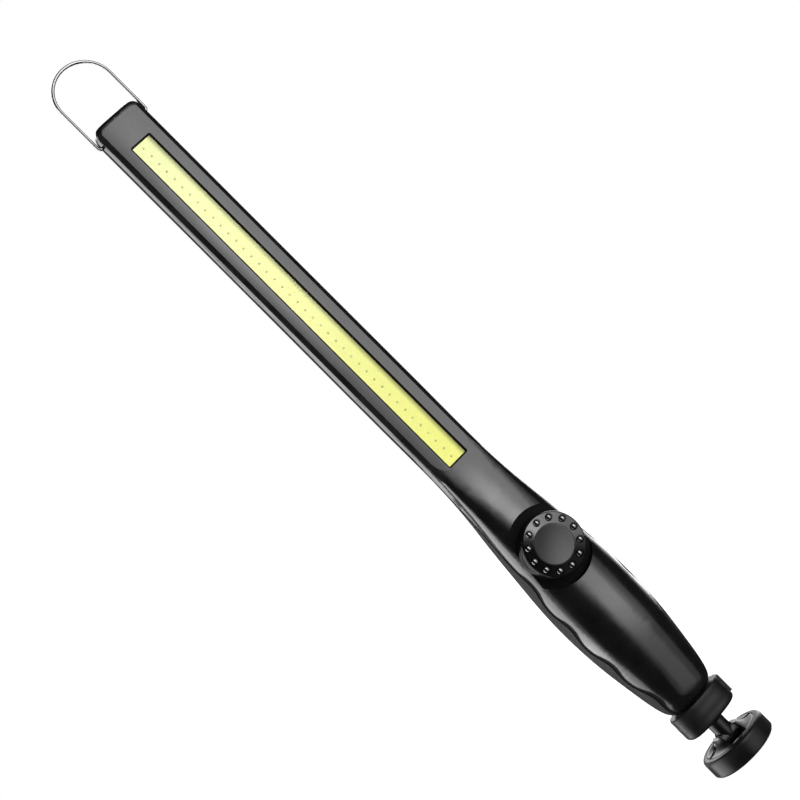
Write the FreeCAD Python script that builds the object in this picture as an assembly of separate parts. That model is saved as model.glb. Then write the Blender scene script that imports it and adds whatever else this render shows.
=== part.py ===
import FreeCAD, Part
import math
import os

from FreeCAD import Vector

# LED wand work light, standing on its magnetic foot.
# Millimetres. +Z runs along the wand, the LED window and the dimmer knob face -Y,
# and the origin is the centre of the foot's magnet face.

# ---------------------------------------------------------------- driving sizes
BLADE_HALF_WIDTH = 12.85
BLADE_HALF_DEPTH = 6.6
BLADE_FLAT_Y = 6.35
BLADE_CHAMFER_ANGLE = 37.0
BLADE_CHAMFER_REACH = 11.46
TIP_Z = 405.5
BLADE_END_Z = 187.5
HANDLE_END_Z = 34.3

WALL = 2.0
GRIP_SKIN = 2.0
GRIP_SEAM = 0.9
CORE_INSET = 3.4

WINDOW_LOW_Z = 185.2
WINDOW_HIGH_Z = 388.4
WINDOW_HALF_WIDTH = 6.0
BEZEL_WIDTH = 0.7
BEZEL_FACE_Y = -5.9
LENS_FACE_Y = -5.3
LENS_SEAT_Y = -4.5
PHOSPHOR_FACE_Y = -4.0
PHOSPHOR_BACK_Y = -3.7
COB_FACE_Y = -3.5
COB_BACK_Y = -2.3
SINK_BACK_Y = 2.4
STACK_HALF_WIDTH = 6.8
STACK_OVERLAP = 1.2
CHIP_PITCH = 4.9
CHIP_HALF_WIDTH = 0.6

KNOB_Z = 129.6
KNOB_FACE_RADIUS = 14.9
KNOB_BASE_RADIUS = 15.1
KNOB_EDGE_RADIUS = 0.7
KNOB_FACE_Y = -19.2
RECESS_RADIUS = 19.4
RECESS_FLOOR_Y = -10.8
BEAD_COUNT = 12
BEAD_CIRCLE_RADIUS = 12.1
BEAD_RADIUS = 1.75
BEAD_SOCKET_MARGIN = 0.25
BEAD_TURN = -4.4
BEAD_SINK = 0.65
BEAD_SOCKET = 0.25
DISH_RADIUS = 8.7
DISH_DEPTH = 0.45

BAIL_PIVOT_Z = 398.2
BAIL_WIRE_RADIUS = 0.8
BAIL_HALF_SPAN = 14.8
BAIL_STRAIGHT_TOP_Z = 422.2

FOOT_RADIUS = 17.5
FOOT_TOP_Z = 9.6
FOOT_FLOOR_Z = 5.2
MAGNET_TOP_Z = 4.4
MAGNET_RADIUS = 13.4
CUP_RADIUS = 14.6
PAD_RADIUS = 16.6
PAD_THICKNESS = 0.8
HUB_DISC_RADIUS = 14.3
HUB_TOP_RADIUS = 6.9
HUB_TOP_Z = 13.2
SLOT_HALF_WIDTH = 4.85
SLOT_FLOOR_Z = 5.9
HUB_SCREW_OFFSETS = (-9.2, 9.2)
TILT_Z = 10.6
PIN_RADIUS = 1.6
PIN_HALF_LENGTH = 8.2
STEM_RADIUS = 4.35

COLLAR_HALF_WIDTH = 14.8
COLLAR_HALF_DEPTH = 9.5
COLLAR_SQUARENESS = 2.5
COLLAR_LOW_Z = 21.0
COLLAR_HIGH_Z = 33.7
NECK_RADIUS = 7.0
NECK_LOW_Z = 25.4
NECK_FLOOR_Z = 28.9
NECK_TOP_Z = 38.8
SPIGOT_RADIUS = 5.4
BOLT_RADIUS = 2.5
BOLT_LOW_Z = 22.8
BOLT_SEAT_Z = 30.0
STEM_SPIGOT_RADIUS = 3.0
RUNNING_GAP = 0.3
PIN_CLEARANCE = 0.05

FINGER_PITCH = 24.2
FIRST_RIDGE_Z = 48.5

CELL_Y = -0.4
CELL_RADIUS = 9.2
CELL_LOW_Z = 58.0
CELL_LENGTH = 50.0
BOARD_BACK_Y = 2.6
LEAD_RADIUS = 0.5

PORT_Z = 148.0
PORT_HALF_WIDTH = 6.0
PORT_HALF_HEIGHT = 4.7
LIGHT_PIPE_Z = 158.5
LIGHT_PIPE_RADIUS = 1.2
SCREW_RADIUS = 0.9
SCREW_HEAD_RADIUS = 1.85
SCREW_HEAD_LOW_Y = 5.5
SCREW_BOSS_RADIUS = 1.8
SCREW_SPOTS = [(-5.0, 394.4), (5.0, 394.4), (-9.0, 196.0), (9.0, 196.0)]

# height, half width, half depth, squareness of the closed section
STATIONS = [
    (TIP_Z, 10.1, 4.6, 4.5),
    (404.6, 11.6, 5.7, 6),
    (402.4, 12.6, 6.4, 8),
    (399.0, BLADE_HALF_WIDTH, BLADE_HALF_DEPTH, 9),
    (350.0, BLADE_HALF_WIDTH, BLADE_HALF_DEPTH, 9),
    (270.0, BLADE_HALF_WIDTH, BLADE_HALF_DEPTH, 9),
    (205.0, BLADE_HALF_WIDTH, BLADE_HALF_DEPTH, 9),
    (188.0, BLADE_HALF_WIDTH, 6.65, 8.5),
    (176.0, 13.3, 7.3, 6.5),
    (160.0, 14.7, 9.6, 4.2),
    (144.0, 16.8, 12.3, 3.2),
    (128.0, 18.6, 14.3, 2.7),
    (110.0, 20.4, 15.5, 2.4),
    (92.0, 20.9, 15.7, 2.3),
    (72.0, 19.7, 14.9, 2.3),
    (54.0, 17.3, 13.1, 2.3),
    (42.0, 15.1, 11.0, 2.4),
    (37.0, 13.4, 9.3, 2.4),
    (HANDLE_END_Z, 11.2, 7.4, 2.4),
]


# ---------------------------------------------------------------- shape helpers
def section(height, half_width, half_depth, squareness):
    """Closed superellipse section, starting at the middle of the back."""
    count = 28
    points = []
    for index in range(count):
        angle = math.pi / 2 + 2 * math.pi * index / count
        x = math.copysign(abs(math.cos(angle)) ** (2 / squareness), math.cos(angle))
        y = math.copysign(abs(math.sin(angle)) ** (2 / squareness), math.sin(angle))
        points.append(Vector(half_width * x, half_depth * y, height))
    curve = Part.BSplineCurve()
    curve.interpolate(points, PeriodicFlag=True)
    return Part.Wire([curve.toShape()])


def body_form(inset):
    """The wand's outer form, or the same form moved in by a wall thickness."""
    wires = [section(z, a - inset, b - inset, n) for z, a, b, n in STATIONS]
    form = Part.makeLoft(wires, True, False)
    if inset:
        height = TIP_Z - HANDLE_END_Z - 2 * inset
        form = form.common(block(-40, 40, -40, 40, HANDLE_END_Z + inset, HANDLE_END_Z + inset + height))
    return form


def trim_tool(angle, reach):
    """Everything beyond a long flat that faces angle degrees from -Y, easing out above the handle."""
    turn = math.radians(angle)
    facing = Vector(math.sin(turn), -math.cos(turn), 0)
    along = Vector(facing.y, -facing.x, 0)
    far = 40.0
    curve = [(reach + 3.0, 170.0), (reach + 0.8, 181.0), (reach + 0.15, 190.0), (reach, 200.0)]
    points = [facing * d + Vector(0, 0, z) for d, z in curve]
    easing = Part.BSplineCurve()
    easing.interpolate(points, InitialTangent=Vector(0, 0, 1) - facing * 0.3, FinalTangent=Vector(0, 0, 1))
    outside = [points[-1]]
    above_z = TIP_Z + 5
    corners = [(reach, above_z), (far, above_z), (far, curve[0][1])]
    outside += [facing * d + Vector(0, 0, z) for d, z in corners]
    outside.append(points[0])
    edges = [easing.toShape()] + [Part.makeLine(a, b) for a, b in zip(outside, outside[1:])]
    tool = Part.Face(Part.Wire(edges)).extrude(along * 2 * far)
    tool.translate(along * -far)
    return tool


def outer_form():
    """Body form with the blade's flat front and back and its chamfered edges."""
    form = body_form(0)
    for angle in (0, 180):
        form = form.cut(trim_tool(angle, BLADE_FLAT_Y))
    for angle in (BLADE_CHAMFER_ANGLE, -BLADE_CHAMFER_ANGLE):
        form = form.cut(trim_tool(angle, BLADE_CHAMFER_REACH))
        form = form.cut(trim_tool(180 - angle, BLADE_CHAMFER_REACH))
    return form


def block(x0, x1, y0, y1, z0, z1):
    return Part.makeBox(x1 - x0, y1 - y0, z1 - z0, Vector(x0, y0, z0))


def rod_z(radius, z0, z1, x=0.0, y=0.0):
    return Part.makeCylinder(radius, z1 - z0, Vector(x, y, z0), Vector(0, 0, 1))


def rod_y(radius, y0, y1, x=0.0, z=0.0):
    return Part.makeCylinder(radius, y1 - y0, Vector(x, y0, z), Vector(0, 1, 0))


def rod_x(radius, x0, x1, y=0.0, z=0.0):
    return Part.makeCylinder(radius, x1 - x0, Vector(x0, y, z), Vector(1, 0, 0))


def turned(profile):
    """Solid turned about Z from (radius, height) points."""
    wire = Part.makePolygon([Vector(r, 0, z) for r, z in profile + profile[:1]])
    return Part.Face(wire).revolve(Vector(0, 0, 0), Vector(0, 0, 1), 360)


def joined(shapes):
    """One solid from shapes that overlap or share faces."""
    result = shapes[0].multiFuse(shapes[1:])
    return result.removeSplitter()


def group(shapes):
    """Separate solids kept together in one node."""
    return Part.makeCompound(shapes)


def lead(points, radius, bend):
    """Round wire along straight runs joined by tangent arcs."""
    nodes = [Vector(*p) for p in points]
    edges = []
    start = nodes[0]
    for before, corner, after in zip(nodes, nodes[1:], nodes[2:]):
        towards = (before - corner).normalize()
        onwards = (after - corner).normalize()
        half = towards.getAngle(onwards) / 2
        reach = bend / math.tan(half)
        first = corner + towards * reach
        last = corner + onwards * reach
        middle_way = (towards + onwards).normalize()
        middle = corner + middle_way * (bend / math.sin(half) - bend)
        edges.append(Part.makeLine(start, first))
        edges.append(Part.Arc(first, middle, last).toShape())
        start = last
    edges.append(Part.makeLine(start, nodes[-1]))
    path = Part.Wire(edges)
    ring = Part.Wire([Part.makeCircle(radius, nodes[0], nodes[1] - nodes[0])])
    return path.makePipeShell([ring], True, False)


# ---------------------------------------------------------------- parting of the shells
def rear_region(low_z, high_z):
    """Everything behind the wavy parting line, between two heights."""
    points = [Vector(0, 4.5, BLADE_END_Z), Vector(0, 3.6, 176), Vector(0, 1.6, 166)]
    points += [Vector(0, -1.2, 155), Vector(0, -3.8, 143), Vector(0, -5.2, 132)]
    ridges = 4
    for index in reversed(range(ridges)):
        ridge_z = FIRST_RIDGE_Z + index * FINGER_PITCH
        points.append(Vector(0, -7.4, ridge_z))
        points.append(Vector(0, -5.1, ridge_z - FINGER_PITCH / 2))
    points[-1] = Vector(0, -5.0, FIRST_RIDGE_Z - 10)
    points.append(Vector(0, -4.6, HANDLE_END_Z - 4))
    wave = Part.BSplineCurve()
    wave.interpolate(points)
    far = 40
    top_z = TIP_Z + 10
    end = points[-1]
    corners = [end, Vector(0, far, end.z), Vector(0, far, top_z), Vector(0, 4.5, top_z), points[0]]
    edges = [wave.toShape()]
    edges += [Part.makeLine(a, b) for a, b in zip(corners, corners[1:])]
    face = Part.Face(Part.Wire(edges))
    prism = face.extrude(Vector(2 * far, 0, 0))
    prism.translate(Vector(-far, 0, 0))
    return prism.common(block(-far, far, -far, far, low_z, high_z))


def grip_back_y(height):
    """Half depth of the handle at one height, between the nearest two stations."""
    for upper, lower in zip(STATIONS, STATIONS[1:]):
        if lower[0] <= height <= upper[0]:
            share = (height - lower[0]) / (upper[0] - lower[0])
            return lower[2] + share * (upper[2] - lower[2])


def knob_recess(extra_radius, extra_depth):
    return rod_y(RECESS_RADIUS + extra_radius, -40, RECESS_FLOOR_Y + extra_depth, 0, KNOB_Z)


# ---------------------------------------------------------------- housing pieces
def front_housing(outer, inner):
    hollow = inner.cut(knob_recess(WALL, WALL))
    for x, z in SCREW_SPOTS:
        hollow = hollow.cut(rod_y(SCREW_BOSS_RADIUS, -10, 10, x, z))
    shell = outer.cut(knob_recess(0, 0)).cut(hollow)
    shell = shell.cut(rear_region(0, TIP_Z + 10))
    shell = shell.cut(rounded_slab(0, -20, 0, 1.0))
    shell = shell.cut(rod_y(4.05, -20, 0, 0, KNOB_Z))
    shell = shell.cut(rod_z(SPIGOT_RADIUS, HANDLE_END_Z - 1, HANDLE_END_Z + WALL + 1))
    shell = shell.cut(rod_x(BAIL_WIRE_RADIUS + PIN_CLEARANCE, -20, 20, 0, BAIL_PIVOT_Z))
    for x, z in SCREW_SPOTS:
        shell = shell.cut(rod_y(SCREW_RADIUS, -3.0, 5.0, x, z))
    return shell


def blade_back(outer, inner):
    plate = outer.cut(inner).common(rear_region(BLADE_END_Z, TIP_Z + 5))
    for x, z in SCREW_SPOTS:
        plate = plate.cut(rod_y(SCREW_RADIUS, 0, 10, x, z))
        plate = plate.cut(rod_y(SCREW_HEAD_RADIUS + PIN_CLEARANCE, SCREW_HEAD_LOW_Y, 10, x, z))
    return plate


def handle_back(skin_form, core_form):
    shell = skin_form.cut(core_form).common(rear_region(0, BLADE_END_Z))
    shell = shell.cut(port_opening(0.3))
    shell = shell.cut(rod_y(LIGHT_PIPE_RADIUS, 0, 20, 0, LIGHT_PIPE_Z))
    return shell.cut(rod_z(SPIGOT_RADIUS, HANDLE_END_Z, HANDLE_END_Z + CORE_INSET + 1))


def port_opening(gap):
    half_width = PORT_HALF_WIDTH + gap
    half_height = PORT_HALF_HEIGHT + gap
    return block(-half_width, half_width, 3, 30, PORT_Z - half_height, PORT_Z + half_height)


def rear_grip(outer, skin_form):
    """Rubber skin over the handle's back, a narrow seam short of the front shell."""
    region = rear_region(0, BLADE_END_Z)
    region.translate(Vector(0, GRIP_SEAM, 0))
    skin = outer.cut(skin_form).common(region)
    groove_radius = 15.0
    for index in range(3):
        groove_z = FIRST_RIDGE_Z + (index + 0.5) * FINGER_PITCH
        middle_y = grip_back_y(groove_z) + groove_radius - 0.9
        skin = skin.cut(rod_x(groove_radius, -30, 30, middle_y, groove_z))
    skin = skin.cut(port_opening(0.3))
    skin = skin.cut(rod_y(LIGHT_PIPE_RADIUS, 0, 20, 0, LIGHT_PIPE_Z))
    return skin.cut(rod_z(SPIGOT_RADIUS, HANDLE_END_Z - 1, HANDLE_END_Z + GRIP_SKIN + 1))


def port_cover(outer):
    flap_form = body_form(1.5)
    return outer.cut(flap_form).common(port_opening(0))


def case_screws():
    screws = []
    for x, z in SCREW_SPOTS:
        shank = rod_y(SCREW_RADIUS, -2.0, SCREW_HEAD_LOW_Y, x, z)
        head = rod_y(SCREW_HEAD_RADIUS, SCREW_HEAD_LOW_Y, 6.3, x, z)
        slot_a = block(x - 1.2, x + 1.2, 5.9, 7, z - 0.2, z + 0.2)
        slot_b = block(x - 0.2, x + 0.2, 5.9, 7, z - 1.2, z + 1.2)
        screws.append(joined([shank, head]).cut(slot_a).cut(slot_b))
    return group(screws)


# ---------------------------------------------------------------- light engine
def rounded_slab(inset, front_y, back_y, corner):
    """Slab the shape of the window, moved in by inset."""
    half = WINDOW_HALF_WIDTH - inset
    slab = block(-half, half, front_y, back_y, WINDOW_LOW_Z + inset, WINDOW_HIGH_Z - inset)
    upright = [e for e in slab.Edges if abs(e.BoundBox.YLength - (back_y - front_y)) < 0.01]
    return slab.makeFillet(corner, upright)


def stack_layer(front_y, back_y, overlap):
    """Flat layer behind the window, longer than it by an overlap at each end."""
    half = STACK_HALF_WIDTH
    return block(-half, half, front_y, back_y, WINDOW_LOW_Z - overlap, WINDOW_HIGH_Z + overlap)


def window_bezel():
    frame = rounded_slab(0, BEZEL_FACE_Y, LENS_SEAT_Y, 1.0)
    return frame.cut(rounded_slab(BEZEL_WIDTH, -8, -4, 0.5))


def lens_window():
    """Clear strip just below its bezel, with a thin flange behind the shell."""
    face = rounded_slab(BEZEL_WIDTH, LENS_FACE_Y, LENS_SEAT_Y, 0.5)
    return joined([face, stack_layer(LENS_SEAT_Y, PHOSPHOR_FACE_Y, STACK_OVERLAP)])


def phosphor_strip():
    return rounded_slab(0.4, PHOSPHOR_FACE_Y, PHOSPHOR_BACK_Y, 0.5)


def led_chips():
    count = int((WINDOW_HIGH_Z - WINDOW_LOW_Z) / CHIP_PITCH)
    first_z = (WINDOW_LOW_Z + WINDOW_HIGH_Z) / 2 - (count - 1) * CHIP_PITCH / 2
    half = CHIP_HALF_WIDTH
    chips = []
    for index in range(count):
        z = first_z + index * CHIP_PITCH
        chips.append(block(-half, half, PHOSPHOR_BACK_Y, COB_FACE_Y, z - half, z + half))
    return group(chips)


def cob_board():
    return stack_layer(COB_FACE_Y, COB_BACK_Y, STACK_OVERLAP)


def heat_sink():
    bar = stack_layer(COB_BACK_Y, SINK_BACK_Y, -1.0)
    for x in (-4.2, 0.0, 4.2):
        bar = bar.cut(block(x - 1.3, x + 1.3, -0.8, 5, 100, 500))
    return bar


# ---------------------------------------------------------------- battery and electronics
def battery_cell():
    can = rod_z(CELL_RADIUS, CELL_LOW_Z, CELL_LOW_Z + CELL_LENGTH - 1, 0, CELL_Y)
    button = rod_z(3.0, CELL_LOW_Z + CELL_LENGTH - 1, CELL_LOW_Z + CELL_LENGTH, 0, CELL_Y)
    return joined([can, button])


def battery_tabs():
    top = CELL_LOW_Z + CELL_LENGTH
    plus = block(-3, 3, CELL_Y - 4, CELL_Y + 4, top, top + 0.3)
    minus = block(-3, 3, CELL_Y - 6, CELL_Y + 6, CELL_LOW_Z - 0.3, CELL_LOW_Z)
    return group([plus, minus])


def battery_pads():
    pads = []
    for low_z in (CELL_LOW_Z + 7, CELL_LOW_Z + 37):
        outside = rod_z(CELL_RADIUS + 0.8, low_z, low_z + 6, 0, CELL_Y)
        pads.append(outside.cut(rod_z(CELL_RADIUS, low_z, low_z + 6, 0, CELL_Y)))
    return group(pads)


def control_board():
    return block(-9.0, 9.0, BOARD_BACK_Y - 1.4, BOARD_BACK_Y, 120.5, 163.0)


def board_parts():
    y = BOARD_BACK_Y
    driver = block(-2.5, 2.5, y, y + 1.5, 124, 130)
    coil = rod_y(2.6, y, y + 2.6, 5.2, 137)
    capacitor = block(-6.5, -4.0, y, y + 1.6, 131, 135)
    diode = block(-6.5, -3.5, y, y + 1.2, 138, 140)
    mosfet = block(-1.8, 1.7, y, y + 1.1, 136, 139)
    return group([driver, coil, capacitor, diode, mosfet])


def usb_socket():
    shell = block(-3.75, 3.75, BOARD_BACK_Y, 9.0, PORT_Z - 1.4, PORT_Z + 1.4)
    mouth = block(-3.45, 3.45, BOARD_BACK_Y + 1, 10.0, PORT_Z - 1.1, PORT_Z + 1.1)
    tongue = block(-2.6, 2.6, BOARD_BACK_Y + 1, 8.2, PORT_Z - 0.3, PORT_Z + 0.3)
    return joined([shell.cut(mouth), tongue])


def charge_light():
    return rod_y(LIGHT_PIPE_RADIUS, BOARD_BACK_Y, 9.5, 0, LIGHT_PIPE_Z)


def dimmer_pot():
    body = rod_y(7.5, -7.0, -1.0, 0, KNOB_Z)
    bush = rod_y(4.0, -12.6, -7.0, 0, KNOB_Z)
    bore = rod_y(3.0 + PIN_CLEARANCE, -20, -2.5, 0, KNOB_Z)
    pin_end = BOARD_BACK_Y - 1.4
    pins = [block(x - 0.4, x + 0.4, -1.0, pin_end, KNOB_Z + 4, KNOB_Z + 4.6) for x in (-2.5, 0, 2.5)]
    return joined([body, bush] + pins).cut(bore)


def pot_nut():
    corners = []
    for index in range(7):
        angle = math.pi / 3 * index
        corners.append(Vector(5.6 * math.cos(angle), RECESS_FLOOR_Y, KNOB_Z + 5.6 * math.sin(angle)))
    nut = Part.Face(Part.makePolygon(corners)).extrude(Vector(0, -1.2, 0))
    return nut.cut(rod_y(4.0, -20, 0, 0, KNOB_Z))


def battery_lead_red():
    """From the cell's top tab to the near side of the board."""
    top = CELL_LOW_Z + CELL_LENGTH + 0.3
    board = BOARD_BACK_Y - 1.4 - LEAD_RADIUS
    points = [(2.0, CELL_Y, top), (2.0, CELL_Y, top + 3), (6.0, CELL_Y, top + 6)]
    points += [(6.0, board, top + 9), (6.0, board, 123)]
    return lead(points, LEAD_RADIUS, 1.2)


def battery_lead_black():
    """From the cell's foot up beside the can to the board."""
    side = 11.2
    low = CELL_LOW_Z - 0.8
    board = BOARD_BACK_Y - 1.4 - LEAD_RADIUS
    points = [(2.4, CELL_Y, low), (side, CELL_Y, low), (side, CELL_Y, 106)]
    points += [(8.2, board, 118), (8.2, board, 124)]
    return lead(points, LEAD_RADIUS, 2.0)


def led_lead(x):
    """From the back of the control board to the bare tail of the light board."""
    board = BOARD_BACK_Y + LEAD_RADIUS
    tail = COB_BACK_Y + LEAD_RADIUS
    return lead([(x, board, 158.5), (x, board, 166), (x, tail, 178), (x, tail, 185.6)], LEAD_RADIUS, 4.0)


# ---------------------------------------------------------------- dimmer knob
def pot_shaft():
    return rod_y(3.0, -16.4, -3.0, 0, KNOB_Z)


def bead_spots():
    spots = []
    for index in range(BEAD_COUNT):
        angle = 2 * math.pi * index / BEAD_COUNT + math.radians(BEAD_TURN)
        spots.append((BEAD_CIRCLE_RADIUS * math.cos(angle), KNOB_Z + BEAD_CIRCLE_RADIUS * math.sin(angle)))
    return spots


def dimmer_knob():
    """Cupped knob with a rounded edge, a ring of bead sockets and a seat for the thumb dish."""
    face = KNOB_FACE_Y
    back = RECESS_FLOOR_Y - 0.4
    seat = DISH_RADIUS + 0.4
    inside = KNOB_FACE_RADIUS - 1.9
    hub_y = -15.4
    edge = KNOB_EDGE_RADIUS
    eased = edge * (1 - math.sqrt(0.5))
    start = Vector(KNOB_FACE_RADIUS - edge, face, KNOB_Z)
    middle = Vector(KNOB_FACE_RADIUS - eased, face + eased, KNOB_Z)
    end = Vector(KNOB_FACE_RADIUS, face + edge, KNOB_Z)
    before = [(0, hub_y), (0, face + 1.4), (seat, face + 1.4), (seat, face + 0.15), (seat + 0.4, face)]
    after = [(KNOB_BASE_RADIUS, back), (inside, back), (inside, hub_y), (0, hub_y)]
    before = [Vector(r, y, KNOB_Z) for r, y in before] + [start]
    after = [end] + [Vector(r, y, KNOB_Z) for r, y in after]
    edges = [Part.makeLine(a, b) for a, b in zip(before, before[1:])]
    edges.append(Part.Arc(start, middle, end).toShape())
    edges += [Part.makeLine(a, b) for a, b in zip(after, after[1:])]
    skirt = Part.Face(Part.Wire(edges)).revolve(Vector(0, 0, KNOB_Z), Vector(0, 1, 0), 360)
    knob = joined([skirt, rod_y(4.6, hub_y, -13.2, 0, KNOB_Z)])
    for x, z in bead_spots():
        knob = knob.cut(rod_y(BEAD_RADIUS + BEAD_SOCKET_MARGIN, face - 1, face + BEAD_SOCKET, x, z))
    return knob.cut(rod_y(3.0, -16.4, 0, 0, KNOB_Z))


def knob_beads():
    beads = []
    for x, z in bead_spots():
        ball = Part.makeSphere(BEAD_RADIUS, Vector(x, KNOB_FACE_Y + BEAD_SINK, z))
        beads.append(ball.common(rod_y(BEAD_RADIUS + 1, KNOB_FACE_Y - 3, KNOB_FACE_Y + BEAD_SOCKET, x, z)))
    return group(beads)


def knob_cap():
    """Round thumb dish with a raised rim, sunk in the knob's face."""
    ball_radius = (DISH_RADIUS ** 2 + DISH_DEPTH ** 2) / (2 * DISH_DEPTH)
    top = KNOB_FACE_Y - 0.1
    puck = rod_y(DISH_RADIUS + 0.4, top, KNOB_FACE_Y + 1.4, 0, KNOB_Z)
    hollow = Part.makeSphere(ball_radius, Vector(0, top + DISH_DEPTH - ball_radius, KNOB_Z))
    return puck.cut(hollow)


# ---------------------------------------------------------------- bail
def bail_hook():
    """Spring-wire bail: ends turned in, short jogs, straight legs and a half-round top."""
    span = BAIL_HALF_SPAN
    inner_end = BLADE_HALF_WIDTH - WALL + 0.4
    turn = 1.4
    half = math.sqrt(0.5)
    pieces = []
    for side in (-1, 1):
        start = Vector(side * inner_end, 0, BAIL_PIVOT_Z)
        bend_start = Vector(side * (span - turn), 0, BAIL_PIVOT_Z)
        bend_middle = Vector(side * (span - turn + turn * half), 0, BAIL_PIVOT_Z + turn - turn * half)
        bend_end = Vector(side * span, 0, BAIL_PIVOT_Z + turn)
        leg_end = Vector(side * span, 0, BAIL_STRAIGHT_TOP_Z)
        pieces.append((start, bend_start, bend_middle, bend_end, leg_end))
    left, right = pieces
    crown = Vector(0, 0, BAIL_STRAIGHT_TOP_Z + span)
    edges = [
        Part.makeLine(left[0], left[1]), Part.Arc(left[1], left[2], left[3]).toShape(),
        Part.makeLine(left[3], left[4]), Part.Arc(left[4], crown, right[4]).toShape(),
        Part.makeLine(right[4], right[3]), Part.Arc(right[3], right[2], right[1]).toShape(),
        Part.makeLine(right[1], right[0]),
    ]
    ring = Part.Wire([Part.makeCircle(BAIL_WIRE_RADIUS, left[0], Vector(1, 0, 0))])
    return Part.Wire(edges).makePipeShell([ring], True, False)


# ---------------------------------------------------------------- swivel
def swivel_neck():
    """Cup that turns in the collar, with a spigot up into the handle."""
    bore = BOLT_RADIUS + PIN_CLEARANCE
    cavity = SPIGOT_RADIUS - 1.1
    return turned([
        (bore, NECK_LOW_Z), (NECK_RADIUS, NECK_LOW_Z), (NECK_RADIUS, HANDLE_END_Z),
        (SPIGOT_RADIUS, HANDLE_END_Z), (SPIGOT_RADIUS, NECK_TOP_Z), (cavity, NECK_TOP_Z),
        (cavity, NECK_FLOOR_Z), (bore, NECK_FLOOR_Z),
    ])


def swivel_collar():
    """Oval block with a socket for the neck, eased edges and a small side tab."""
    low = COLLAR_LOW_Z
    high = COLLAR_HIGH_Z
    rows = [(low, 1.8), (low + 0.3, 1.0), (low + 0.9, 0.35), (low + 2.0, 0.0), (low + 5.0, 0.0)]
    rows += [(low + 8.0, 0.0), (high - 1.2, 0.0), (high - 0.5, 0.15), (high, 0.7)]
    a = COLLAR_HALF_WIDTH
    b = COLLAR_HALF_DEPTH
    wires = [section(z, a - inset, b - inset, COLLAR_SQUARENESS) for z, inset in rows]
    body = Part.makeLoft(wires, True, False)
    tab = block(a - 2.0, a + 0.8, -3.0, 3.0, low + 2.4, high - 0.6)
    body = body.fuse(tab)
    body = body.cut(rod_z(NECK_RADIUS + RUNNING_GAP, NECK_LOW_Z - RUNNING_GAP, high + 2))
    body = body.cut(rod_z(BOLT_RADIUS, BOLT_LOW_Z, high))
    return body.cut(rod_z(STEM_SPIGOT_RADIUS, low - 5, BOLT_LOW_Z))


def swivel_bolt():
    shank = rod_z(BOLT_RADIUS, BOLT_LOW_Z, BOLT_SEAT_Z)
    head = rod_z(3.9, BOLT_SEAT_Z, BOLT_SEAT_Z + 2.2)
    slot_z = BOLT_SEAT_Z + 1.3
    body = joined([shank, head])
    for half_x, half_y in ((2.2, 0.5), (0.5, 2.2)):
        body = body.cut(block(-half_x, half_x, -half_y, half_y, slot_z, slot_z + 3))
    return body


def swivel_washer():
    low = BOLT_SEAT_Z - 0.8
    return rod_z(3.9, low, BOLT_SEAT_Z).cut(rod_z(BOLT_RADIUS, low - 1, BOLT_SEAT_Z + 1))


def swivel_stem():
    """Round stem with a knuckle at its foot end, a flare and a spigot at the collar."""
    stem = turned([
        (0, TILT_Z), (STEM_RADIUS, TILT_Z),
        (STEM_RADIUS, COLLAR_LOW_Z - 1.5), (STEM_RADIUS + 1.5, COLLAR_LOW_Z),
        (STEM_SPIGOT_RADIUS, COLLAR_LOW_Z), (STEM_SPIGOT_RADIUS, BOLT_LOW_Z), (0, BOLT_LOW_Z),
    ])
    half_length = STEM_RADIUS - 0.1
    knuckle = rod_x(STEM_RADIUS - 0.15, -half_length, half_length, 0, TILT_Z)
    return joined([stem, knuckle]).cut(rod_x(PIN_RADIUS + PIN_CLEARANCE, -20, 20, 0, TILT_Z))


# ---------------------------------------------------------------- foot
def foot_housing():
    """Drum with a softened top edge and a round seat for the hinge hub."""
    seat_radius = HUB_DISC_RADIUS + 0.1
    outside = [
        (0, MAGNET_TOP_Z), (CUP_RADIUS, MAGNET_TOP_Z),
        (CUP_RADIUS, PAD_THICKNESS), (PAD_RADIUS, PAD_THICKNESS),
        (PAD_RADIUS, 0.3), (FOOT_RADIUS - 0.6, 0.3), (FOOT_RADIUS, 1.0), (FOOT_RADIUS, FOOT_TOP_Z - 2.2),
    ]
    inside = [
        (FOOT_RADIUS - 1.7, FOOT_TOP_Z - 0.15), (seat_radius + 0.3, FOOT_TOP_Z),
        (seat_radius, FOOT_TOP_Z - 0.3),
        (seat_radius, FOOT_FLOOR_Z), (0, FOOT_FLOOR_Z), (0, MAGNET_TOP_Z),
    ]
    before = [Vector(r, 0, z) for r, z in outside]
    after = [Vector(r, 0, z) for r, z in inside]
    shoulder = Vector(FOOT_RADIUS - 0.5, 0, FOOT_TOP_Z - 0.8)
    edges = [Part.makeLine(a, b) for a, b in zip(before, before[1:])]
    edges.append(Part.Arc(before[-1], shoulder, after[0]).toShape())
    edges += [Part.makeLine(a, b) for a, b in zip(after, after[1:])]
    body = Part.Face(Part.Wire(edges)).revolve(Vector(0, 0, 0), Vector(0, 0, 1), 360)
    for y in HUB_SCREW_OFFSETS:
        body = body.cut(rod_z(0.8, MAGNET_TOP_Z, 6, 0, y))
    return body


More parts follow.
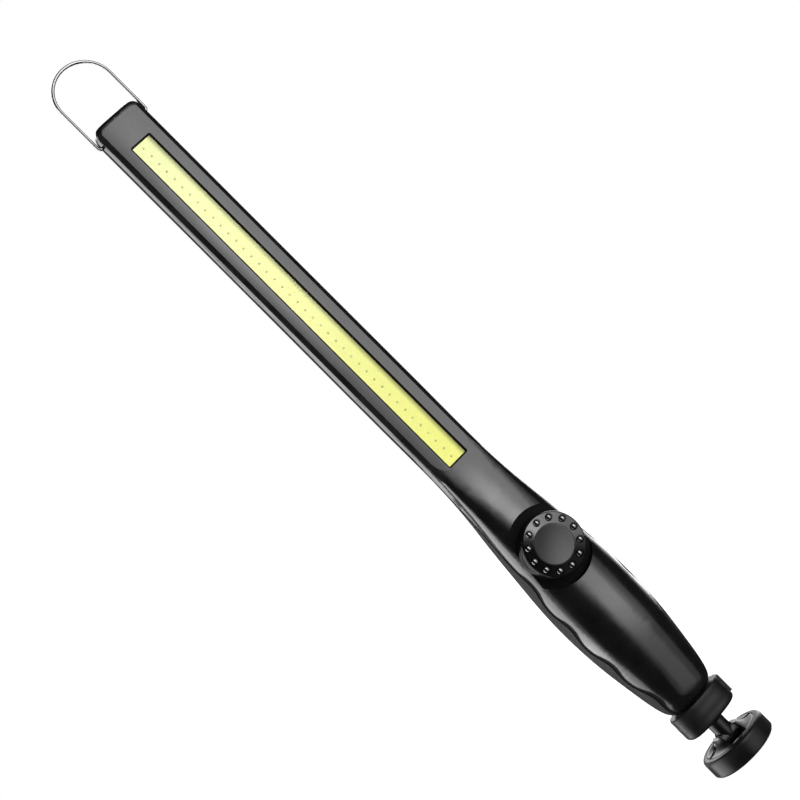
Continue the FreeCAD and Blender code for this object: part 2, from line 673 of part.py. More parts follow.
def hinge_hub():
    """Flared boss, slotted for the stem, whose two cheeks carry the tilt pin."""
    top = HUB_TOP_Z
    flare = [Vector(HUB_DISC_RADIUS - 0.3, 0, FOOT_TOP_Z), Vector(9.8, 0, FOOT_TOP_Z + 1.0)]
    flare.append(Vector(HUB_TOP_RADIUS + 0.3, 0, top - 0.4))
    below = [Vector(0, 0, FOOT_FLOOR_Z), Vector(HUB_DISC_RADIUS, 0, FOOT_FLOOR_Z)]
    below += [Vector(HUB_DISC_RADIUS, 0, FOOT_TOP_Z - 0.3), flare[0]]
    above = [flare[2], Vector(HUB_TOP_RADIUS, 0, top), Vector(0, 0, top), below[0]]
    edges = [Part.makeLine(a, b) for a, b in zip(below, below[1:])]
    edges.append(Part.Arc(*flare).toShape())
    edges += [Part.makeLine(a, b) for a, b in zip(above, above[1:])]
    hub = Part.Face(Part.Wire(edges)).revolve(Vector(0, 0, 0), Vector(0, 0, 1), 360)
    slot = block(-SLOT_HALF_WIDTH, SLOT_HALF_WIDTH, -20, 20, SLOT_FLOOR_Z, top + 5)
    hub = hub.cut(slot.common(rod_z(HUB_DISC_RADIUS - 1.2, 0, 20)))
    hub = hub.cut(rod_x(PIN_RADIUS, -20, 20, 0, TILT_Z))
    for y in HUB_SCREW_OFFSETS:
        hub = hub.cut(rod_z(0.8, 5, 7, 0, y))
    return hub


def hub_screws():
    screws = []
    for y in HUB_SCREW_OFFSETS:
        shank = rod_z(0.8, MAGNET_TOP_Z, SLOT_FLOOR_Z, 0, y)
        screws.append(joined([shank, rod_z(1.5, SLOT_FLOOR_Z, SLOT_FLOOR_Z + 0.9, 0, y)]))
    return group(screws)


def hinge_pin():
    return rod_x(PIN_RADIUS, -PIN_HALF_LENGTH, PIN_HALF_LENGTH, 0, TILT_Z)


def friction_washers():
    washers = []
    thickness = 0.4
    for low_x in (-SLOT_HALF_WIDTH, SLOT_HALF_WIDTH - thickness):
        ring = rod_x(2.6, low_x, low_x + thickness, 0, TILT_Z)
        washers.append(ring.cut(rod_x(PIN_RADIUS, -20, 20, 0, TILT_Z)))
    return group(washers)


def magnet_cup():
    magnet_high = MAGNET_TOP_Z - 1.0
    return turned([
        (0, MAGNET_TOP_Z), (CUP_RADIUS, MAGNET_TOP_Z),
        (CUP_RADIUS, PAD_THICKNESS), (MAGNET_RADIUS, PAD_THICKNESS),
        (MAGNET_RADIUS, magnet_high), (0, magnet_high),
    ])


def foot_magnet():
    return rod_z(MAGNET_RADIUS, PAD_THICKNESS, MAGNET_TOP_Z - 1.0)


def foot_pad():
    return rod_z(PAD_RADIUS, 0.0, PAD_THICKNESS)


# ---------------------------------------------------------------- writing the parts
def main():
    outer = outer_form()
    inner = body_form(WALL)
    skin_form = body_form(GRIP_SKIN)
    core_form = body_form(CORE_INSET)
    parts = {
        "front_housing": front_housing(outer, inner),
        "blade_back": blade_back(outer, inner),
        "handle_back": handle_back(skin_form, core_form),
        "rear_grip": rear_grip(outer, skin_form),
        "port_cover": port_cover(outer),
        "case_screws": case_screws(),
        "window_bezel": window_bezel(),
        "lens_window": lens_window(),
        "phosphor_strip": phosphor_strip(),
        "led_chips": led_chips(),
        "cob_board": cob_board(),
        "heat_sink": heat_sink(),
        "battery_cell": battery_cell(),
        "battery_tabs": battery_tabs(),
        "battery_pads": battery_pads(),
        "control_board": control_board(),
        "board_parts": board_parts(),
        "usb_socket": usb_socket(),
        "charge_light": charge_light(),
        "dimmer_pot": dimmer_pot(),
        "pot_nut": pot_nut(),
        "battery_lead_red": battery_lead_red(),
        "battery_lead_black": battery_lead_black(),
        "led_lead_red": led_lead(-3.0),
        "led_lead_black": led_lead(3.0),
        "pot_shaft": pot_shaft(),
        "dimmer_knob": dimmer_knob(),
        "knob_beads": knob_beads(),
        "knob_cap": knob_cap(),
        "bail_hook": bail_hook(),
        "swivel_neck": swivel_neck(),
        "swivel_collar": swivel_collar(),
        "swivel_bolt": swivel_bolt(),
        "swivel_washer": swivel_washer(),
        "swivel_stem": swivel_stem(),
        "foot_housing": foot_housing(),
        "hinge_hub": hinge_hub(),
        "hub_screws": hub_screws(),
        "hinge_pin": hinge_pin(),
        "friction_washers": friction_washers(),
        "magnet_cup": magnet_cup(),
        "foot_magnet": foot_magnet(),
        "foot_pad": foot_pad(),
    }
    os.makedirs("parts", exist_ok=True)
    for name, shape in parts.items():
        shape.exportStep(os.path.join("parts", name + ".step"))
        print(name, shape.isValid(), len(shape.Solids), round(shape.Volume, 1))


main()
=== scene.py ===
import math

import bmesh
import bpy
from mathutils import Matrix, Vector


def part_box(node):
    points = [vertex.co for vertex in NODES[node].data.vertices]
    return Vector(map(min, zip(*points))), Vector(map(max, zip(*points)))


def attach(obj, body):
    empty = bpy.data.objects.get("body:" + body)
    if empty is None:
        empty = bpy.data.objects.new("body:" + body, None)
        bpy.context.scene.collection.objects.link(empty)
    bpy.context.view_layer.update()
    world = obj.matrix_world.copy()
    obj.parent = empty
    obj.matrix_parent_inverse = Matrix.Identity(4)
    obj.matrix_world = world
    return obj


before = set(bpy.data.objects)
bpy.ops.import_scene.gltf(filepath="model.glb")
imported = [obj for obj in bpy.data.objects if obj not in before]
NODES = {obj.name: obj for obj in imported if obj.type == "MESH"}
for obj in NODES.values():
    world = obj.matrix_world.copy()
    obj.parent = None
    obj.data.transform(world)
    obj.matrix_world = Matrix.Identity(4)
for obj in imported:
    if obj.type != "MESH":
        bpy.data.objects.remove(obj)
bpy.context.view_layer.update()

# Lengths are in metres and angles in degrees.
KNOB_Z = 0.1296                 # height of the dimmer knob's axis
RECESS_RADIUS = 0.01945         # round recess of the front shell around the knob, where shade is painted
RECESS_BACK_Y = -0.0106         # the recess lies in front of this depth
SKIRT_START, SKIRT_END = 0.0010, 0.0016  # behind the knob's front, over which painted shade on its skirt fades in
CROWN = 4.5                     # the front shell falls by this times x squared
RING_SLOPE = 0.22               # fall of the knob's ring for each metre from the axis

SEAM_SHADE_WIDTH = 0.0011               # width of the painted shade along the shell's rear edge
SEAM_SOFTNESS = 0.0003          # half the width over which that painted shade fades in
SEAM_LOW_Z, SEAM_HIGH_Z = 0.030, 0.200
SEAM_LOW_Y, SEAM_HIGH_Y = -0.009, 0.006
# Height and depth of the front shell's rear edge, along which shade is painted: the wavy parting
# line along the grip, then the eased edge of the blade, whose last depth holds up to the tip.
SEAM_POINTS = [
    (0.0300, -0.0046), (0.0385, -0.0050), (0.0485, -0.0074), (0.0606, -0.0051),
    (0.0727, -0.0074), (0.0848, -0.0051), (0.0969, -0.0074), (0.1090, -0.0051),
    (0.1211, -0.0074), (0.1320, -0.0052), (0.1430, -0.0038), (0.1550, -0.0012),
    (0.1660, 0.0016), (0.1760, 0.0034), (0.1875, 0.0036), (0.2000, 0.0022),
]

SPECULAR = 0.5                  # specular level of a glossy face
# specular level where shade is painted
PAINTED_SHADE_SPECULAR = 0.04
MATT_ROUGHNESS = 0.6

PAINTED_WALL_SHADOW_START, PAINTED_WALL_SHADOW_END = 0.0031, 0.0055  # x over which a painted shadow of the window's wall dims the glow

CHIP_ASIDE = -0.0007            # x of the row of LED domes
CHIP_WOBBLE = 0.00012
CHIP_WOBBLE_STEP = 2.3          # radians from one dome to the next
CHIP_RADII = (0.00062, 0.00022, 0.00055)

FLOOR_RADIUS = 6.0
FLOOR_GLOW_START, FLOOR_GLOW_END = 0.05, 0.8  # distance over which the floor's painted glow rises to full
FLOOR_GLOW_LOW = 0.78
BACKDROP_RADIUS = 8.0
WORLD_LEVEL = 0.03

LIGHT_AIM = (0, 0, 0.22)
# name, azimuth from -Y towards +X, elevation, distance, width, height, radiance
LIGHTS = [
    ("right_wide", 30, 6, 1.3, 1.9, 1.5, 0.7),
    ("right_middle", 25, 8, 1.3, 1.15, 1.5, 1.2),
    ("right_core", 24, 1, 1.3, 0.7, 1.0, 2.1),
    ("front_strip", 13, 11, 1.3, 0.30, 0.26, 4.5),
    ("high_wide", 24, 33, 1.3, 1.2, 1.0, 0.5),
    ("high_core", 22, 38, 1.3, 0.8, 0.6, 4.0),
    ("low_wide", 30, -34, 1.3, 1.5, 1.0, 0.6),
    ("low_core", 24, -30, 1.3, 0.7, 0.9, 0.7),
    ("left_wide", -110, 5, 1.2, 1.7, 1.4, 1.0),
    ("left_core", -113, 5, 1.2, 1.0, 1.4, 4.7),
    ("left_low", -112, -34, 1.2, 1.2, 0.7, 3.2),
    ("rear_strip", -164, 5, 1.2, 0.17, 1.2, 2.2),
    ("back_box", 172, 20, 1.4, 0.5, 0.7, 4.0),
    ("back_wide", 140, 8, 1.3, 1.3, 1.3, 1.3),
    ("back_core", 137, 6, 1.3, 0.5, 1.1, 2.6),
]

CAMERA_SIDE_ANGLE = 16.0        # from straight ahead towards -X
CAMERA_DISTANCE = 0.773
CAMERA_AIM_HEIGHT = 0.223
CAMERA_AIM_ASIDE = 0.002
CAMERA_LENS = 76.7
CAMERA_SENSOR = 36.0


# ---------------------------------------------------------------- shader building blocks
def new_material(name):
    material = bpy.data.materials.new(name)
    material.use_nodes = True
    return material, material.node_tree, material.node_tree.nodes["Principled BSDF"]


def grey(value):
    return (value, value, value, 1)


def feed(tree, socket, value):
    """Gives a socket a number or links it to another node's output."""
    if isinstance(value, (int, float)):
        socket.default_value = value
    else:
        tree.links.new(value, socket)


def object_vector(tree):
    return tree.nodes.new("ShaderNodeTexCoord").outputs["Object"]


def object_axes(tree):
    split = tree.nodes.new("ShaderNodeSeparateXYZ")
    tree.links.new(object_vector(tree), split.inputs["Vector"])
    return split.outputs


def noise(tree, scale, detail=3.0, stretch=(1, 1, 1)):
    mapping = tree.nodes.new("ShaderNodeMapping")
    mapping.inputs["Scale"].default_value = stretch
    tree.links.new(object_vector(tree), mapping.inputs["Vector"])
    texture = tree.nodes.new("ShaderNodeTexNoise")
    texture.inputs["Scale"].default_value = scale
    texture.inputs["Detail"].default_value = detail
    texture.inputs["Roughness"].default_value = 0.5
    tree.links.new(mapping.outputs["Vector"], texture.inputs["Vector"])
    return texture.outputs["Fac"]


def ramp(tree, value, low, high, start=0.35, end=0.65):
    node = tree.nodes.new("ShaderNodeValToRGB")
    for element, position, colour in zip(node.color_ramp.elements, (start, end), (low, high)):
        element.position = position
        element.color = colour
    tree.links.new(value, node.inputs["Fac"])
    return node.outputs["Color"]


def map_range(tree, value, start, end, low=0.0, high=1.0, kind="LINEAR"):
    """low up to start and high from end on."""
    node = tree.nodes.new("ShaderNodeMapRange")
    node.interpolation_type = kind
    node.inputs["From Min"].default_value = start
    node.inputs["From Max"].default_value = end
    node.inputs["To Min"].default_value = low
    node.inputs["To Max"].default_value = high
    tree.links.new(value, node.inputs["Value"])
    return node.outputs["Result"]


def math_node(tree, operation, first, second):
    node = tree.nodes.new("ShaderNodeMath")
    node.operation = operation
    feed(tree, node.inputs[0], first)
    feed(tree, node.inputs[1], second)
    return node.outputs["Value"]


def mix_values(tree, amount, first, second):
    node = tree.nodes.new("ShaderNodeMix")
    tree.links.new(amount, node.inputs[0])
    feed(tree, node.inputs[2], first)
    feed(tree, node.inputs[3], second)
    return node.outputs[0]


def multiply_colours(tree, first, second):
    node = tree.nodes.new("ShaderNodeMix")
    node.data_type = "RGBA"
    node.blend_type = "MULTIPLY"
    node.inputs[0].default_value = 1.0
    tree.links.new(first, node.inputs[6])
    tree.links.new(second, node.inputs[7])
    return node.outputs[2]


def knob_distance(tree):
    """Distance from the dimmer knob's axis."""
    flat = tree.nodes.new("ShaderNodeVectorMath")
    flat.operation = "MULTIPLY_ADD"
    flat.inputs[1].default_value = (1, 0, 1)
    flat.inputs[2].default_value = (0, 0, -KNOB_Z)
    length = tree.nodes.new("ShaderNodeVectorMath")
    length.operation = "LENGTH"
    tree.links.new(object_vector(tree), flat.inputs[0])
    tree.links.new(flat.outputs["Vector"], length.inputs[0])
    return length.outputs["Value"]


def slanted(tree, across, up, start, end, low, high):
    """low up to start and high from end on, along a slanted line through the knob's axis."""
    line = tree.nodes.new("ShaderNodeVectorMath")
    line.operation = "DOT_PRODUCT"
    line.inputs[1].default_value = (across, 0, up)
    tree.links.new(object_vector(tree), line.inputs[0])
    axis = up * KNOB_Z
    return map_range(
        tree, line.outputs["Value"], start + axis, end + axis, low, high, "SMOOTHSTEP"
    )


def bump(tree, shader, height, strength, distance):
    node = tree.nodes.new("ShaderNodeBump")
    node.inputs["Strength"].default_value = strength
    node.inputs["Distance"].default_value = distance
    tree.links.new(height, node.inputs["Height"])
    tree.links.new(node.outputs["Normal"], shader.inputs["Normal"])


def shaped_bump(tree, shader, height):
    """Adds a gentle form, given as a height, under the material's grain."""
    grain = shader.inputs["Normal"].links[0].from_node
    bump(tree, grain, height, 1.0, 1.0)


def seam_shade_mask(tree, height, depth):
    """1 along the shell's rear edge, where shade is painted, 0 elsewhere."""
    curve = tree.nodes.new("ShaderNodeFloatCurve")
    points = curve.mapping.curves[0].points
    rise = SEAM_HIGH_Z - SEAM_LOW_Z
    depth_span = SEAM_HIGH_Y - SEAM_LOW_Y
    spots = [((z - SEAM_LOW_Z) / rise, (y - SEAM_LOW_Y) / depth_span) for z, y in SEAM_POINTS]
    points[0].location = spots[0]
    points[1].location = spots[-1]
    for spot in spots[1:-1]:
        points.new(*spot)
    curve.mapping.update()
    place = map_range(tree, height, SEAM_LOW_Z, SEAM_HIGH_Z)
    tree.links.new(place, curve.inputs["Value"])
    line = math_node(tree, "MULTIPLY", curve.outputs["Value"], depth_span)
    line = math_node(tree, "ADD", line, SEAM_LOW_Y - SEAM_SHADE_WIDTH)
    past = math_node(tree, "SUBTRACT", depth, line)
    return map_range(tree, past, -SEAM_SOFTNESS, SEAM_SOFTNESS, kind="SMOOTHSTEP")


# ---------------------------------------------------------------- materials
def moulded(name, low, high, rough_low, rough_high, grain=2500, strength=0.12, distance=0.00003,
            **sockets):
    """Moulded plastic or rubber: slight colour and gloss variation with a fine grain."""
    material, tree, shader = new_material(name)
    broad = noise(tree, 90, 4)
    fine = noise(tree, grain, 2)
    tree.links.new(ramp(tree, broad, (*low, 1), (*high, 1)), shader.inputs["Base Color"])
    tree.links.new(ramp(tree, broad, grey(rough_low), grey(rough_high)), shader.inputs["Roughness"])
    bump(tree, shader, fine, strength, distance)
    for socket, value in sockets.items():
        shader.inputs[socket.replace("_", " ")].default_value = value
    return material


def metal(name, low, high, rough_low, rough_high, stretch=(1, 1, 1)):
    """Metal with faint colour patches and a fine finish, drawn out where stretch says so."""
    material, tree, shader = new_material(name)
    broad = noise(tree, 120, stretch=stretch)
    fine = noise(tree, 900, stretch=stretch)
    tree.links.new(ramp(tree, broad, (*low, 1), (*high, 1)), shader.inputs["Base Color"])
    tree.links.new(ramp(tree, fine, grey(rough_low), grey(rough_high)), shader.inputs["Roughness"])
    bump(tree, shader, fine, 0.05, 0.00002)
    shader.inputs["Metallic"].default_value = 1.0
    return material


def shell_material():
    """Glossy front shell with a slight crown, dulled by painted shade in the knob's recess and
    along its rear edge.
    """
    material = moulded(
        "shell_black", (0.0016, 0.0016, 0.0018), (0.0030, 0.0030, 0.0033), 0.18, 0.22,
        strength=0.03,
    )
    tree = material.node_tree
    shader = tree.nodes["Principled BSDF"]
    axes = object_axes(tree)
    square = math_node(tree, "MULTIPLY", axes["X"], axes["X"])
    shaped_bump(tree, shader, math_node(tree, "MULTIPLY", square, -CROWN))
    # painted shade in the knob's recess, by dulling the shell there
    radial = math_node(tree, "LESS_THAN", knob_distance(tree), RECESS_RADIUS)
    ahead = math_node(tree, "LESS_THAN", axes["Y"], RECESS_BACK_Y)
    recess = math_node(tree, "MULTIPLY", radial, ahead)
    # the painted shade along the seam joins the recess's
    painted_shade_mask = math_node(tree, "MAXIMUM", recess, seam_shade_mask(tree, axes["Z"], axes["Y"]))
    gloss_and_painted_sheen = shader.inputs["Roughness"].links[0].from_socket
    tree.links.new(mix_values(tree, painted_shade_mask, gloss_and_painted_sheen, MATT_ROUGHNESS), shader.inputs["Roughness"])
    specular = mix_values(tree, painted_shade_mask, SPECULAR, PAINTED_SHADE_SPECULAR)
    tree.links.new(specular, shader.inputs["Specular IOR Level"])
    return material


def knob_material():
    """Glossy knob: its ring falls away towards its edge. Painted shade dulls its shine at the
    lower left and on its skirt, and a painted highlight brightens it at the upper right."""
    material = moulded(
        "knob_black", (0.0016, 0.0016, 0.0018), (0.0032, 0.0032, 0.0035), 0.14, 0.20,
        strength=0.03,
    )
    tree = material.node_tree
    shader = tree.nodes["Principled BSDF"]
    shaped_bump(tree, shader, math_node(tree, "MULTIPLY", knob_distance(tree), -RING_SLOPE))
    (_, front_y, _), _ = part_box("dimmer_knob")
    depth = object_axes(tree)["Y"]
    # painted shade on the skirt, which sits down in the recess
    skirt = map_range(tree, depth, front_y + SKIRT_START, front_y + SKIRT_END)
    # painted highlight at the upper right, painted shade at the lower left, by specular level
    gloss_and_painted_sheen = slanted(tree, 0.7, 0.7, -0.004, 0.007, 0.06, 0.55)
    specular = mix_values(tree, skirt, gloss_and_painted_sheen, PAINTED_SHADE_SPECULAR)
    tree.links.new(specular, shader.inputs["Specular IOR Level"])
    return material


def cap_material():
    """Satin cap with painted shade at its upper left and a painted highlight at its lower right."""
    material = moulded(
        "cap_black", (0.006, 0.006, 0.0063), (0.010, 0.010, 0.0106), 0.34, 0.42, strength=0.08,
    )
    tree = material.node_tree
    shader = tree.nodes["Principled BSDF"]
    # painted shade at the upper left, painted highlight at the lower right, by specular level
    gloss_and_painted_sheen = slanted(tree, 0.6, -0.8, -0.008, 0.007, 0.12, 0.46)
    tree.links.new(gloss_and_painted_sheen, shader.inputs["Specular IOR Level"])
    return material


def phosphor_material():
    """Silicone over the LEDs: paler towards the tip, dimmed at +X by a painted shadow of the
    window's wall.
    """
    material, tree, shader = new_material("phosphor")
    (_, _, low_z), (_, _, high_z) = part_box("phosphor_strip")
    axes = object_axes(tree)
    mottle = noise(tree, 260, 3)
    patches = math_node(tree, "MULTIPLY", mottle, 0.12)
    blend = math_node(tree, "ADD", patches, map_range(tree, axes["Z"], low_z, high_z))
    colour = ramp(tree, blend, (0.745, 0.755, 0.185, 1), (0.77, 0.80, 0.42, 1), 0.05, 1.0)
    # painted shadow: the glow darkens towards +X, where the window's wall would shade it
    wall = map_range(tree, axes["X"], PAINTED_WALL_SHADOW_START, PAINTED_WALL_SHADOW_END)
    shade = ramp(tree, wall, grey(1), (0.20, 0.20, 0.13, 1), 0.0, 1.0)
    glow = multiply_colours(tree, colour, shade)
    base = ramp(tree, mottle, (0.10, 0.10, 0.03, 1), (0.13, 0.13, 0.04, 1))
    tree.links.new(glow, shader.inputs["Emission Color"])
    tree.links.new(base, shader.inputs["Base Color"])
    shader.inputs["Roughness"].default_value = 0.5
    shader.inputs["Emission Strength"].default_value = 1.0
    return material


def chip_material():
    """Ochre LED domes, dimmer than the silicone around them."""
    material, tree, shader = new_material("chip_dots")
    mottle = noise(tree, 900, 2)
    base = ramp(tree, mottle, (0.20, 0.19, 0.05, 1), (0.28, 0.27, 0.08, 1))
    glow = ramp(tree, mottle, (0.22, 0.21, 0.06, 1), (0.32, 0.31, 0.10, 1))
    tree.links.new(base, shader.inputs["Base Color"])
    tree.links.new(glow, shader.inputs["Emission Color"])
    shader.inputs["Roughness"].default_value = 0.6
    shader.inputs["Emission Strength"].default_value = 1.0
    return material


def lens_material():
    """Clear cover of the window, faintly frosted."""
    material, tree, shader = new_material("lens_clear")
    fine = noise(tree, 400, 2)
    tree.links.new(ramp(tree, fine, grey(0.10), grey(0.16)), shader.inputs["Roughness"])
    shader.inputs["Base Color"].default_value = (1.0, 1.0, 0.97, 1)
    shader.inputs["IOR"].default_value = 1.3
    shader.inputs["Transmission Weight"].default_value = 1.0
    return material


MATERIALS = {
    "housing": moulded(
        "housing_black", (0.0020, 0.0020, 0.0022), (0.0035, 0.0035, 0.0038), 0.42, 0.50,
        strength=0.06, Specular_IOR_Level=0.25,
    ),
    "grip": moulded(
        "grip_rubber", (0.006, 0.006, 0.0064), (0.011, 0.011, 0.0116), 0.46, 0.58,
        1600, 0.45, 0.0001, Specular_IOR_Level=0.08,
    ),
    "inner": moulded(
        "inner_black", (0.001, 0.001, 0.001), (0.002, 0.002, 0.002), 0.6, 0.7,
        Specular_IOR_Level=0.05,
    ),
    "collar": moulded(
        "collar_black", (0.0025, 0.0025, 0.0027), (0.0055, 0.0055, 0.0058), 0.36, 0.44,
        strength=0.08, Specular_IOR_Level=0.16,
    ),
    "bezel": moulded(
        "bezel_black", (0.0015, 0.0015, 0.0008), (0.003, 0.003, 0.0016), 0.55, 0.65,
        Specular_IOR_Level=0.04,
    ),
    "bead": moulded(
        "bead_black", (0.0015, 0.0015, 0.0017), (0.0028, 0.0028, 0.0030), 0.05, 0.09,
        strength=0.02, IOR=2.2,
    ),
    "foot": moulded(
        "foot_black", (0.0025, 0.0025, 0.0027), (0.0055, 0.0055, 0.0058), 0.28, 0.36,
        strength=0.08, Specular_IOR_Level=0.15,
    ),
    "hub": moulded(
        "hub_black", (0.002, 0.002, 0.0022), (0.0045, 0.0045, 0.0048), 0.30, 0.38,
        strength=0.06, Specular_IOR_Level=0.22,
    ),
    "pad": moulded(
        "pad_rubber", (0.015, 0.015, 0.015), (0.024, 0.024, 0.024), 0.7, 0.8, 1500, 0.5, 0.0001,
    ),
    "steel": metal("zinc_steel", (0.42, 0.42, 0.43), (0.60, 0.60, 0.62), 0.25, 0.4),
    "chrome": metal(
        "bright_wire", (0.15, 0.15, 0.155), (0.24, 0.24, 0.245), 0.14, 0.22, (1, 1, 0.05),
    ),
    "aluminium": metal(
        "aluminium", (0.70, 0.70, 0.72), (0.82, 0.82, 0.84), 0.3, 0.45, (1, 1, 0.05),
    ),
    "nickel": metal("nickel", (0.55, 0.53, 0.48), (0.68, 0.66, 0.60), 0.2, 0.35),
    "nylon": moulded("nylon", (0.62, 0.62, 0.58), (0.74, 0.74, 0.70), 0.4, 0.5),
    "wrap": moulded("cell_wrap", (0.02, 0.09, 0.30), (0.03, 0.12, 0.38), 0.25, 0.32),
    "foam": moulded(
        "foam", (0.05, 0.05, 0.05), (0.09, 0.09, 0.09), 0.85, 0.95, 1200, 0.8, 0.0002,
    ),
    "board": moulded("solder_mask", (0.01, 0.10, 0.03), (0.015, 0.16, 0.05), 0.25, 0.4),
    "component": moulded("component", (0.01, 0.01, 0.01), (0.03, 0.03, 0.03), 0.4, 0.5),
    "red": moulded("lead_red", (0.45, 0.01, 0.01), (0.60, 0.02, 0.015), 0.35, 0.45),
    "black": moulded("lead_black", (0.012, 0.012, 0.012), (0.02, 0.02, 0.02), 0.35, 0.45),
    "pipe": moulded(
        "light_pipe", (0.70, 0.74, 0.72), (0.80, 0.84, 0.82), 0.3, 0.4, Transmission_Weight=0.6,
    ),
    "shell": shell_material(),
    "knob": knob_material(),
    "cap": cap_material(),
    "phosphor": phosphor_material(),
    "chips": chip_material(),
    "lens": lens_material(),
}

FINISHES = {
    "shell": ["front_housing"],
    "housing": ["blade_back"],
    "grip": ["rear_grip", "port_cover"],
    "inner": ["handle_back", "swivel_neck", "dimmer_pot"],
    "bezel": ["window_bezel"],
    "knob": ["dimmer_knob"],
    "bead": ["knob_beads"],
    "cap": ["knob_cap"],
    "foot": ["foot_housing"],
    "collar": ["swivel_collar"],
    "hub": ["hinge_hub", "swivel_stem"],
    "pad": ["foot_pad"],
    "steel": [
        "case_screws", "hub_screws", "hinge_pin", "swivel_bolt", "magnet_cup", "pot_nut",
        "usb_socket",
    ],
    "chrome": ["bail_hook"],
    "aluminium": ["cob_board", "heat_sink", "pot_shaft"],
    "nickel": ["foot_magnet", "battery_tabs"],
    "nylon": ["swivel_washer", "friction_washers"],
    "wrap": ["battery_cell"],
    "foam": ["battery_pads"],
    "board": ["control_board"],
    "component": ["board_parts"],
    "red": ["battery_lead_red", "led_lead_red"],
    "black": ["battery_lead_black", "led_lead_black"],
    "pipe": ["charge_light"],
    "phosphor": ["phosphor_strip", "led_chips"],
    "lens": ["lens_window"],
}


def finish_nodes():
    for key, names in FINISHES.items():
        for name in names:
            mesh = NODES[name].data
            mesh.materials.clear()
            mesh.materials.append(MATERIALS[key])


# ---------------------------------------------------------------- added pieces
def object_from(shape, name):
    """Scene object made from a bmesh."""
    mesh = bpy.data.meshes.new(name)
    shape.to_mesh(mesh)
    shape.free()
    thing = bpy.data.objects.new(name, mesh)
    bpy.context.scene.collection.objects.link(thing)
    return thing


def add_piece(name, shape, body, key):
    """Smooth piece from a bmesh, riding on a body with one material."""
    piece = object_from(shape, name)
    for face in piece.data.polygons:
        face.use_smooth = True
    piece.data.materials.append(MATERIALS[key])
    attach(piece, body)


def chip_dots():
    """Low domes over the LED chips, showing through the silicone."""
    (_, low_y, _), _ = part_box("phosphor_strip")
    chips = NODES["led_chips"].data
    heights = sorted({round(v.co.z, 4) for v in chips.vertices})
    centres = [(bottom + top) / 2 for bottom, top in zip(heights[0::2], heights[1::2])]
    size = Matrix.Diagonal((*CHIP_RADII, 1))
    shape = bmesh.new()
    for index, height in enumerate(centres):
        aside = CHIP_ASIDE + CHIP_WOBBLE * math.sin(index * CHIP_WOBBLE_STEP)
        place = Matrix.Translation((aside, low_y, height)) @ size
        bmesh.ops.create_uvsphere(shape, u_segments=12, v_segments=8, radius=1.0, matrix=place)
    add_piece("chip_dots", shape, "light_bar", "chips")


# ---------------------------------------------------------------- stage, lights and camera
def stage_floor():
    """White floor with a painted glow, weaker close to the wand and full farther out."""
    shape = bmesh.new()
    bmesh.ops.create_circle(shape, cap_ends=True, segments=96, radius=FLOOR_RADIUS)
    floor = object_from(shape, "floor")
    material, tree, shader = new_material("floor_white")
    distance = tree.nodes.new("ShaderNodeVectorMath")
    distance.operation = "LENGTH"
    tree.links.new(object_vector(tree), distance.inputs[0])
    glow = map_range(
        tree, distance.outputs["Value"], FLOOR_GLOW_START, FLOOR_GLOW_END, FLOOR_GLOW_LOW
    )
    tree.links.new(glow, shader.inputs["Emission Strength"])
    shader.inputs["Emission Color"].default_value = grey(1)
    shader.inputs["Base Color"].default_value = grey(0.4)
    shader.inputs["Roughness"].default_value = 1.0
    shader.inputs["Specular IOR Level"].default_value = 0.0
    floor.data.materials.append(material)
    floor.visible_glossy = False
    floor.visible_shadow = False


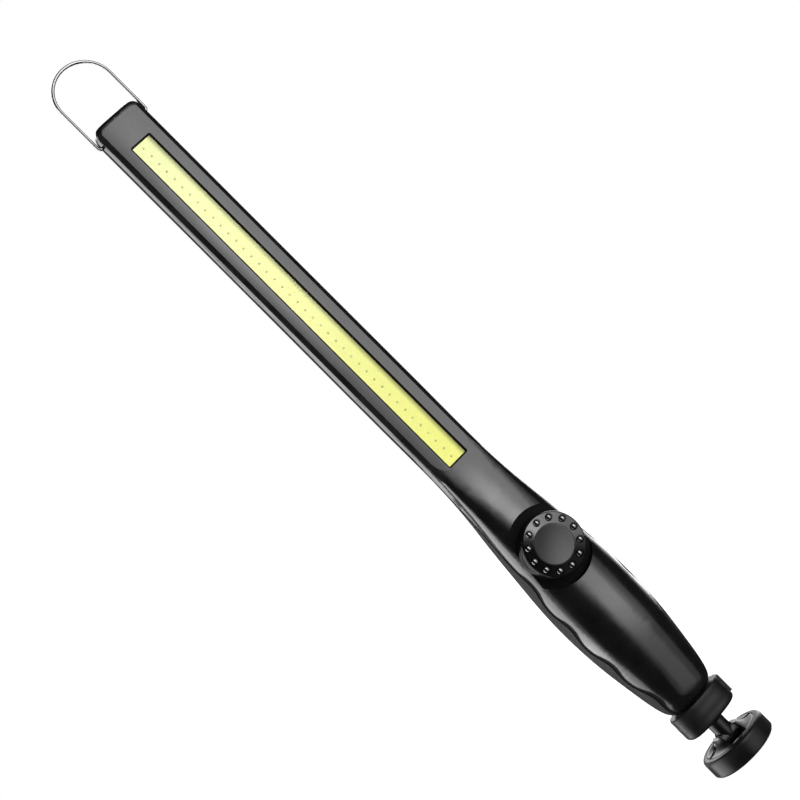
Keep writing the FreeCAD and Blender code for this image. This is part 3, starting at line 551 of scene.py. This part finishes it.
def stage_backdrop():
    """White dome that only the camera sees."""
    shape = bmesh.new()
    bmesh.ops.create_uvsphere(shape, u_segments=64, v_segments=32, radius=BACKDROP_RADIUS)
    bmesh.ops.reverse_faces(shape, faces=shape.faces)
    dome = object_from(shape, "backdrop")
    material, _, shader = new_material("backdrop_white")
    shader.inputs["Base Color"].default_value = grey(0)
    shader.inputs["Specular IOR Level"].default_value = 0.0
    shader.inputs["Emission Color"].default_value = grey(1)
    shader.inputs["Emission Strength"].default_value = 1.0
    dome.data.materials.append(material)
    dome.visible_glossy = False
    dome.visible_diffuse = False
    dome.visible_transmission = False
    dome.visible_shadow = False


def softbox(name, azimuth, elevation, distance, width, height, radiance):
    """Rectangular light aimed at the wand."""
    side = math.radians(azimuth)
    rise = math.radians(elevation)
    level = math.cos(rise)
    towards = Vector((math.sin(side) * level, -math.cos(side) * level, math.sin(rise)))
    light = bpy.data.lights.new(name, "AREA")
    light.shape = "RECTANGLE"
    light.size = width
    light.size_y = height
    light.energy = radiance * math.pi * width * height
    lamp = bpy.data.objects.new(name, light)
    bpy.context.scene.collection.objects.link(lamp)
    lamp.location = Vector(LIGHT_AIM) + towards * distance
    lamp.rotation_mode = "QUATERNION"
    lamp.rotation_quaternion = (-towards).to_track_quat("-Z", "Y")
    lamp.visible_camera = False


def set_world():
    world = bpy.data.worlds.new("studio")
    bpy.context.scene.world = world
    world.use_nodes = True
    background = world.node_tree.nodes["Background"]
    background.inputs["Color"].default_value = grey(1)
    background.inputs["Strength"].default_value = WORLD_LEVEL


def photo_camera():
    """Camera level with the wand's middle, a little to its -X side, rolled an eighth of a turn."""
    side = math.radians(CAMERA_SIDE_ANGLE)
    forward = Vector((math.sin(side), math.cos(side), 0))
    level_right = forward.cross(Vector((0, 0, 1)))
    up = (Vector((0, 0, 1)) + level_right).normalized()
    right = forward.cross(up)
    aim = Vector((0, 0, CAMERA_AIM_HEIGHT)) + level_right * CAMERA_AIM_ASIDE
    camera_data = bpy.data.cameras.new("camera")
    camera_data.lens = CAMERA_LENS
    camera_data.sensor_width = CAMERA_SENSOR
    camera = bpy.data.objects.new("camera", camera_data)
    bpy.context.scene.collection.objects.link(camera)
    place = Matrix((right, up, -forward)).transposed().to_4x4()
    place.translation = aim - forward * CAMERA_DISTANCE
    camera.matrix_world = place
    bpy.context.scene.camera = camera


finish_nodes()
chip_dots()
stage_floor()
stage_backdrop()
set_world()
for light_row in LIGHTS:
    softbox(*light_row)
photo_camera()
bpy.context.scene.view_settings.view_transform = "Standard"
